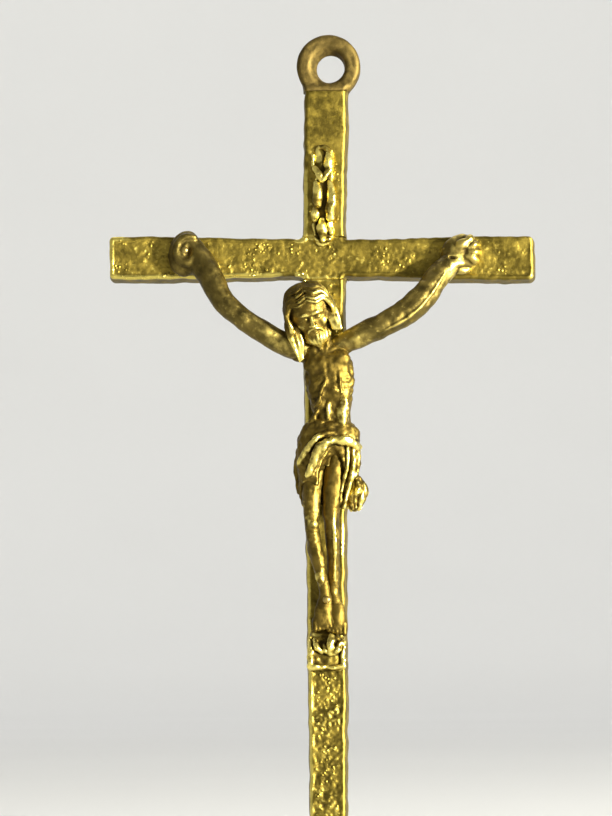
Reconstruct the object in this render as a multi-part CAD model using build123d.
from build123d import *
import math
import os

# A crucifix pendant: two lap-jointed metal bars, a cast hanging eyelet, a title scroll, a footrest
# and a figure of separate castings that three nails hold to the bars.
#
# Frame: the origin is the centre of the eyelet's bore, +Z is up, the figure faces -Y and +X is on
# the right of someone facing it. "right_" and "left_" in a name are the figure's own sides, so the
# right arm reaches towards -X. All sizes are in millimetres. Everything is drawn on the upright's
# centre line, x = 0, and moved to the frame's origin when it is written out.

# ---- driving dimensions of the cross ----
HEIGHT = 50.0  # top of the eyelet to the foot of the upright
SPAN = 27.2  # crossbeam, end to end
BAR_THICKNESS = 1.8
UPRIGHT_TOP_WIDTH = 2.9
UPRIGHT_FOOT_WIDTH = 2.52
BEAM_DEPTH = 3.0  # height of the crossbeam's back face
BEAM_DROP = 12.3  # eyelet bore down to the crossbeam's centre line
SIDE_DRAFT = 0.15  # each side of a bar leans in this much from back to front
RIM_WIDTH = 0.26  # raised border round the front faces
GROUND_DEPTH = 0.12  # the field inside the border lies this much lower

# ---- eyelet ----
EYELET_OFFSET = 0.28  # the eyelet stands this far to the +X side of the upright's centre line
EYELET_RADIUS = 2.02
BORE_RADIUS = 0.95
EYELET_THICKNESS = 1.6
EYELET_EDGE = 0.42  # rounding of the ring's outer edges
BORE_EDGE = 0.3  # rounding of the bore's edges
SPIGOT_RADIUS = 0.5
SPIGOT_LENGTH = 1.5

# ---- title scroll ----
SCROLL_WIDTH = 1.65
SCROLL_HEIGHT = 5.8
SCROLL_X = 0.05
SCROLL_Z = -8.35
SCROLL_THICKNESS = 0.32
SCROLL_CURL = 0.3  # radius of the rolled ends
PEG_RADIUS = 0.25
PEG_LENGTH = 0.7

# ---- nails ----
NAIL_RADIUS = 0.28
NAIL_HEAD_RADIUS = 0.48
NAIL_HEAD_HEIGHT = 0.3
RIVET_RADIUS = 0.5  # the spread tail, flush with the back
RIVET_DEPTH = 0.25

# ---- places worked out from the above ----
FRONT_Y = -BAR_THICKNESS / 2  # top of the raised border
BACK_Y = BAR_THICKNESS / 2
GROUND_Y = FRONT_Y + GROUND_DEPTH
FOOT_Z = EYELET_RADIUS - HEIGHT
UPRIGHT_TOP_Z = -0.8 * EYELET_RADIUS
DRAFT_ANGLE = math.degrees(math.atan(SIDE_DRAFT / BAR_THICKNESS))
BACK_PLANE = Plane.XZ.offset(-BACK_Y)  # its normal points to the front

# ---- the figure's landmarks ----
HEAD_CENTRE = (-0.95, -3.1, -15.75)
HEAD_TILT = (24, -19, 0)  # bowed forward, and leaning to the figure's right
RIGHT_PALM = (-8.75, -1.3, -11.8)
LEFT_PALM = (8.75, -1.3, -12.0)
PALM_HALF = (1.08, 0.5, 1.25)  # half sizes of a hand
FOOT_NAIL = (0.1, -2.42, -34.0)
NECK_PEG_RADIUS = 0.3
LIMB_PEG_RADIUS = 0.28
KNOT_PEG_RADIUS = 0.2


def outline_prism(corners, depth):
    """A prism from the back face towards the front, with drafted sides."""
    return extrude(BACK_PLANE * Polygon(*corners, align=None), amount=depth, taper=DRAFT_ANGLE)


def inset_prism(corners, inset, front_y, depth):
    """A straight prism of an outline drawn in by inset, from front_y towards the back."""
    face = Plane.XZ.offset(-front_y) * offset(
        Polygon(*corners, align=None), amount=-inset, kind=Kind.INTERSECTION
    )
    return extrude(face, amount=-depth)


def ball(centre, half_sizes, tilt=(0, 0, 0)):
    """An ellipsoid."""
    return Pos(*centre) * Rot(*tilt) * scale(Sphere(1.0), by=half_sizes)


def rod(start, end, radius):
    """A straight round rod between two points."""
    run = Vector(*end) - Vector(*start)
    return extrude(Plane(origin=start, z_dir=run) * Circle(radius), amount=run.length)


def limb(stations):
    """A smooth solid through round sections; stations are (x, y, z, radius) in order."""
    points = [Vector(*s[:3]) for s in stations]
    sections = []
    for i, station in enumerate(stations):
        before = points[max(i - 1, 0)]
        after = points[min(i + 1, len(points) - 1)]
        sections.append(Plane(origin=points[i], z_dir=after - before) * Circle(station[3]))
    return loft(sections)


def trunk(stations):
    """A smooth solid through level oval sections; stations are (z, x, y, half_x, half_y)."""
    ovals = [Pos(x, y, z) * Ellipse(half_x, half_y) for z, x, y, half_x, half_y in stations]
    return loft(ovals)


# ---- the cross ----
def upright_corners():
    top, foot = UPRIGHT_TOP_WIDTH / 2, UPRIGHT_FOOT_WIDTH / 2
    return [(-top, UPRIGHT_TOP_Z), (-foot, FOOT_Z), (foot, FOOT_Z), (top, UPRIGHT_TOP_Z)]


def beam_corners():
    half, top = SPAN / 2, BEAM_DEPTH / 2 - BEAM_DROP
    low = -BEAM_DEPTH / 2 - BEAM_DROP
    return [(-half, top), (-half, low), (half, low), (half, top)]


def make_bars():
    """The upright and the crossbeam, half-lapped so that both faces are flush."""
    upright = outline_prism(upright_corners(), BAR_THICKNESS)
    beam = outline_prism(beam_corners(), BAR_THICKNESS)
    lap_size = 2 * BEAM_DEPTH
    front_half = Pos(0, -lap_size / 2, -BEAM_DROP) * Box(lap_size, lap_size, lap_size)
    back_half = Pos(0, lap_size / 2, -BEAM_DROP) * Box(lap_size, lap_size, lap_size)
    notch, housing = beam & front_half, upright & back_half
    inset = SIDE_DRAFT + RIM_WIDTH
    ground = inset_prism(upright_corners(), inset, FRONT_Y, GROUND_DEPTH) + inset_prism(
        beam_corners(), inset, FRONT_Y, GROUND_DEPTH
    )
    return upright - notch - ground, beam - housing - ground


def make_eyelet():
    """A round-edged ring with a spigot below it."""
    lying = Pos(EYELET_OFFSET, 0, 0) * Rot(90, 0, 0)
    ring = lying * Cylinder(EYELET_RADIUS, EYELET_THICKNESS)
    ring = fillet(ring.edges().filter_by(GeomType.CIRCLE), EYELET_EDGE)
    ring -= lying * Cylinder(BORE_RADIUS, 2 * EYELET_THICKNESS)
    circles = ring.edges().filter_by(GeomType.CIRCLE)
    ring = fillet([c for c in circles if abs(c.radius - BORE_RADIUS) < 1e-6], BORE_EDGE)
    seat = (BORE_RADIUS + EYELET_RADIUS) / 2
    return ring + rod((0, 0, -seat), (0, 0, -EYELET_RADIUS - SPIGOT_LENGTH), SPIGOT_RADIUS)


def make_title_scroll():
    """A blank scroll with rolled ends, on two pegs."""
    front_y = GROUND_Y - SCROLL_THICKNESS
    scroll = Pos(SCROLL_X, (GROUND_Y + front_y) / 2, SCROLL_Z) * Box(
        SCROLL_WIDTH, SCROLL_THICKNESS, SCROLL_HEIGHT
    )
    for end in (-1, 1):
        roll_z = SCROLL_Z + end * (SCROLL_HEIGHT / 2 - SCROLL_CURL)
        scroll += Pos(SCROLL_X, front_y, roll_z) * Rot(0, 90, 0) * Cylinder(
            SCROLL_CURL, SCROLL_WIDTH
        )
        peg_z = SCROLL_Z + end * SCROLL_HEIGHT / 5
        scroll += rod(
            (0, GROUND_Y - 0.1, peg_z), (0, GROUND_Y + PEG_LENGTH, peg_z), PEG_RADIUS
        )
    return scroll


def make_footrest():
    """A bracket with a sloping seat, a hollow below it and a lip at the bottom, on one peg."""
    side = Plane.YZ * Polygon(
        (GROUND_Y, -35.95), (-2.2, -36.4), (-2.25, -36.95), (-1.6, -37.7),
        (-1.6, -38.2), (GROUND_Y, -38.3), align=None,
    )
    bracket = extrude(side, amount=1.12, both=True)
    peg_z = -37.1
    return bracket + rod((0, -1.0, peg_z), (0, GROUND_Y + PEG_LENGTH, peg_z), PEG_RADIUS)


def make_nail(x, z, head_y):
    """A nail whose domed head sits at head_y and whose tail is spread flush with the back."""
    shank = rod((x, head_y, z), (x, BACK_Y, z), NAIL_RADIUS)
    dome = Pos(x, head_y, z) * Rot(90, 0, 0) * Cone(
        NAIL_HEAD_RADIUS, 0.55 * NAIL_HEAD_RADIUS, NAIL_HEAD_HEIGHT,
        align=(Align.CENTER, Align.CENTER, Align.MIN),
    )
    tail = Pos(x, BACK_Y, z) * Rot(90, 0, 0) * Cone(
        RIVET_RADIUS, NAIL_RADIUS, RIVET_DEPTH, align=(Align.CENTER, Align.CENTER, Align.MIN)
    )
    return shank + dome + tail


# ---- the figure ----
def make_torso():
    """The trunk with sloping shoulders and a neck."""
    body = trunk([
        (-18.3, 0.05, -2.5, 0.9, 0.72),
        (-18.9, 0.15, -2.42, 1.35, 0.88),
        (-19.9, 0.2, -2.45, 1.58, 1.0),
        (-21.2, 0.3, -2.4, 1.42, 0.92),
        (-22.6, 0.35, -2.15, 1.22, 0.78),
        (-24.0, 0.3, -2.1, 1.35, 0.85),
        (-25.6, 0.15, -2.1, 1.4, 0.85),
    ])
    shoulders = limb([
        (-1.4, -2.4, -18.5, 0.58), (0.05, -2.42, -18.4, 0.72), (1.4, -2.4, -17.95, 0.58),
    ])
    neck = limb([(0.1, -2.45, -18.4, 0.6), (-0.1, -2.65, -17.6, 0.5), (-0.25, -2.8, -17.1, 0.48)])
    return body + shoulders + neck


def make_neck_peg():
    """The peg on the neck that carries the head."""
    return rod((-0.25, -2.8, -17.2), (-0.55, -2.95, -16.3), NECK_PEG_RADIUS)


def make_head():
    """Skull, hair, beard and the side locks, leaning together."""
    x, y, z = HEAD_CENTRE
    skull = ball(HEAD_CENTRE, (1.38, 1.5, 1.72), HEAD_TILT)
    hair = ball((x - 0.15, y + 0.35, z + 0.05), (1.72, 1.42, 1.82), HEAD_TILT)
    beard = limb([
        (x + 0.45, y - 0.55, z - 1.0, 0.9),
        (x + 0.75, y - 0.65, z - 1.75, 0.6),
        (x + 0.98, y - 0.6, z - 2.4, 0.25),
    ])
    right_lock = limb([
        (x - 1.15, y - 0.1, z - 0.8, 0.5),
        (x - 0.9, y - 0.3, z - 1.9, 0.48),
        (x - 0.45, y - 0.2, z - 3.3, 0.22),
    ])
    left_lock = limb([
        (x + 1.05, y + 0.1, z + 0.2, 0.5),
        (x + 1.6, y - 0.1, z - 0.55, 0.42),
        (x + 2.1, y + 0.05, z - 1.35, 0.22),
    ])
    return skull + hair + beard + right_lock + left_lock


def limb_peg(stations, end):
    """The peg inside a limb's first stretch that runs on into the trunk."""
    start = (Vector(*stations[0][:3]) + Vector(*stations[1][:3])) / 2
    return rod(tuple(start), end, LIMB_PEG_RADIUS)


def make_arm(stations, palm, shoulder):
    """An arm that sags between shoulder and hand; the hand lies flat on the crossbeam's rim."""
    hand = ball(palm, PALM_HALF)
    behind = Pos(palm[0], FRONT_Y + 1, palm[2]) * Box(8, 2, 8)
    return limb(stations) + hand - behind, limb_peg(stations, shoulder)


def make_right_arm():
    return make_arm([
        (-1.2, -2.42, -18.5, 0.7),
        (-2.25, -2.52, -18.0, 0.78),
        (-3.45, -2.6, -17.35, 0.82),
        (-4.75, -2.6, -16.55, 0.82),
        (-5.8, -2.45, -15.7, 0.8),
        (-6.6, -2.2, -14.7, 0.78),
        (-7.2, -1.9, -13.6, 0.72),
        (-8.5, -1.4, -12.2, 0.44),
    ], RIGHT_PALM, (-0.5, -2.4, -18.75))


def make_left_arm():
    return make_arm([
        (1.1, -2.42, -17.9, 0.68),
        (2.1, -2.55, -17.5, 0.74),
        (3.7, -2.62, -16.8, 0.8),
        (5.2, -2.52, -16.0, 0.82),
        (6.35, -2.3, -15.0, 0.82),
        (7.1, -2.0, -13.9, 0.74),
        (8.5, -1.4, -12.3, 0.44),
    ], LEFT_PALM, (0.6, -2.4, -18.3))


def make_leg(stations, foot, foot_half, foot_tilt, hip):
    """A leg with its foot, and the peg that goes up into the trunk."""
    leg = limb(stations) + ball(foot, foot_half, foot_tilt)
    return leg, limb_peg(stations, hip)


def make_right_leg():
    return make_leg([
        (-0.6, -2.2, -25.1, 0.74),
        (-0.78, -2.6, -27.1, 0.72),
        (-0.78, -2.9, -29.1, 0.5),
        (-0.45, -2.72, -31.1, 0.46),
        (0.0, -2.3, -33.0, 0.38),
        (0.05, -2.1, -34.0, 0.42),
    ], (0.0, -2.0, -34.85), (0.72, 0.42, 1.2), (-8, 0, 0), (-0.5, -2.1, -24.4))


def make_left_leg():
    return make_leg([
        (0.68, -2.2, -25.1, 0.76),
        (0.5, -2.5, -27.0, 0.74),
        (0.3, -2.7, -28.8, 0.52),
        (0.48, -2.45, -30.7, 0.48),
        (0.5, -1.85, -32.6, 0.38),
        (0.4, -1.42, -33.8, 0.4),
    ], (0.5, -1.32, -34.7), (0.7, 0.38, 1.25), (0, -14, 0), (0.6, -2.1, -24.4))


def make_loincloth():
    """The wrapped cloth, open in front below the hips, before the body is cut from it."""
    wrap = trunk([
        (-22.7, 0.35, -2.2, 1.55, 1.0),
        (-23.5, 0.27, -2.25, 1.98, 1.2),
        (-25.2, 0.12, -2.3, 2.02, 1.3),
        (-26.3, 0.0, -2.4, 1.75, 1.35),
        (-27.6, -0.12, -2.5, 1.5, 1.3),
        (-28.3, -0.15, -2.55, 1.38, 1.15),
    ])
    return wrap - ball((-0.05, -3.9, -28.0), (0.85, 1.0, 3.0), (0, 6, 0))


def make_loincloth_knot():
    """The hanging end of the cloth, and its peg."""
    peg = rod((1.85, -2.25, -26.6), (1.35, -2.25, -26.6), KNOT_PEG_RADIUS)
    return ball((1.85, -2.2, -27.1), (0.62, 0.6, 1.3), (0, -6, 0)), peg


def main():
    upright, crossbeam = make_bars()
    eyelet = make_eyelet()
    scroll = make_title_scroll()
    footrest = make_footrest()
    nail_seat = RIGHT_PALM[1] - PALM_HALF[1] + 0.06
    right_nail = make_nail(RIGHT_PALM[0], RIGHT_PALM[2], nail_seat)
    left_nail = make_nail(LEFT_PALM[0], LEFT_PALM[2], nail_seat)
    foot_nail = make_nail(FOOT_NAIL[0], FOOT_NAIL[2], FOOT_NAIL[1])

    neck_peg = make_neck_peg()
    torso = make_torso()
    head = make_head() - neck_peg - torso
    torso += neck_peg
    right_arm, right_arm_peg = make_right_arm()
    left_arm, left_arm_peg = make_left_arm()
    right_leg, right_leg_peg = make_right_leg()
    left_leg, left_leg_peg = make_left_leg()
    right_arm = right_arm - torso - head - right_nail + right_arm_peg
    left_arm = left_arm - torso - head - left_nail + left_arm_peg
    right_leg = right_leg - torso - foot_nail + right_leg_peg
    left_leg = left_leg - torso - right_leg - foot_nail + left_leg_peg
    torso -= right_arm_peg + left_arm_peg + right_leg_peg + left_leg_peg
    loincloth = make_loincloth() - torso - right_leg - left_leg
    knot, knot_peg = make_loincloth_knot()
    knot = knot - loincloth - torso - left_leg + knot_peg
    loincloth -= knot_peg
    upright = upright - eyelet - scroll - footrest - foot_nail
    crossbeam = crossbeam - right_nail - left_nail - scroll
    hand_nails = Compound([right_nail, left_nail])

    nodes = {
        "upright": upright, "crossbeam": crossbeam, "hanging_eyelet": eyelet,
        "title_scroll": scroll, "footrest": footrest, "torso": torso, "head": head,
        "right_arm": right_arm, "left_arm": left_arm, "right_leg": right_leg,
        "left_leg": left_leg, "loincloth": loincloth, "loincloth_knot": knot,
        "hand_nails": hand_nails, "foot_nail": foot_nail,
    }
    os.makedirs("parts", exist_ok=True)
    for name, solid in nodes.items():
        export_step(Pos(-EYELET_OFFSET, 0, 0) * solid, f"parts/{name}.step")
        print(name, len(solid.solids()), "solid(s)", round(solid.volume, 2), "mm3")


main()
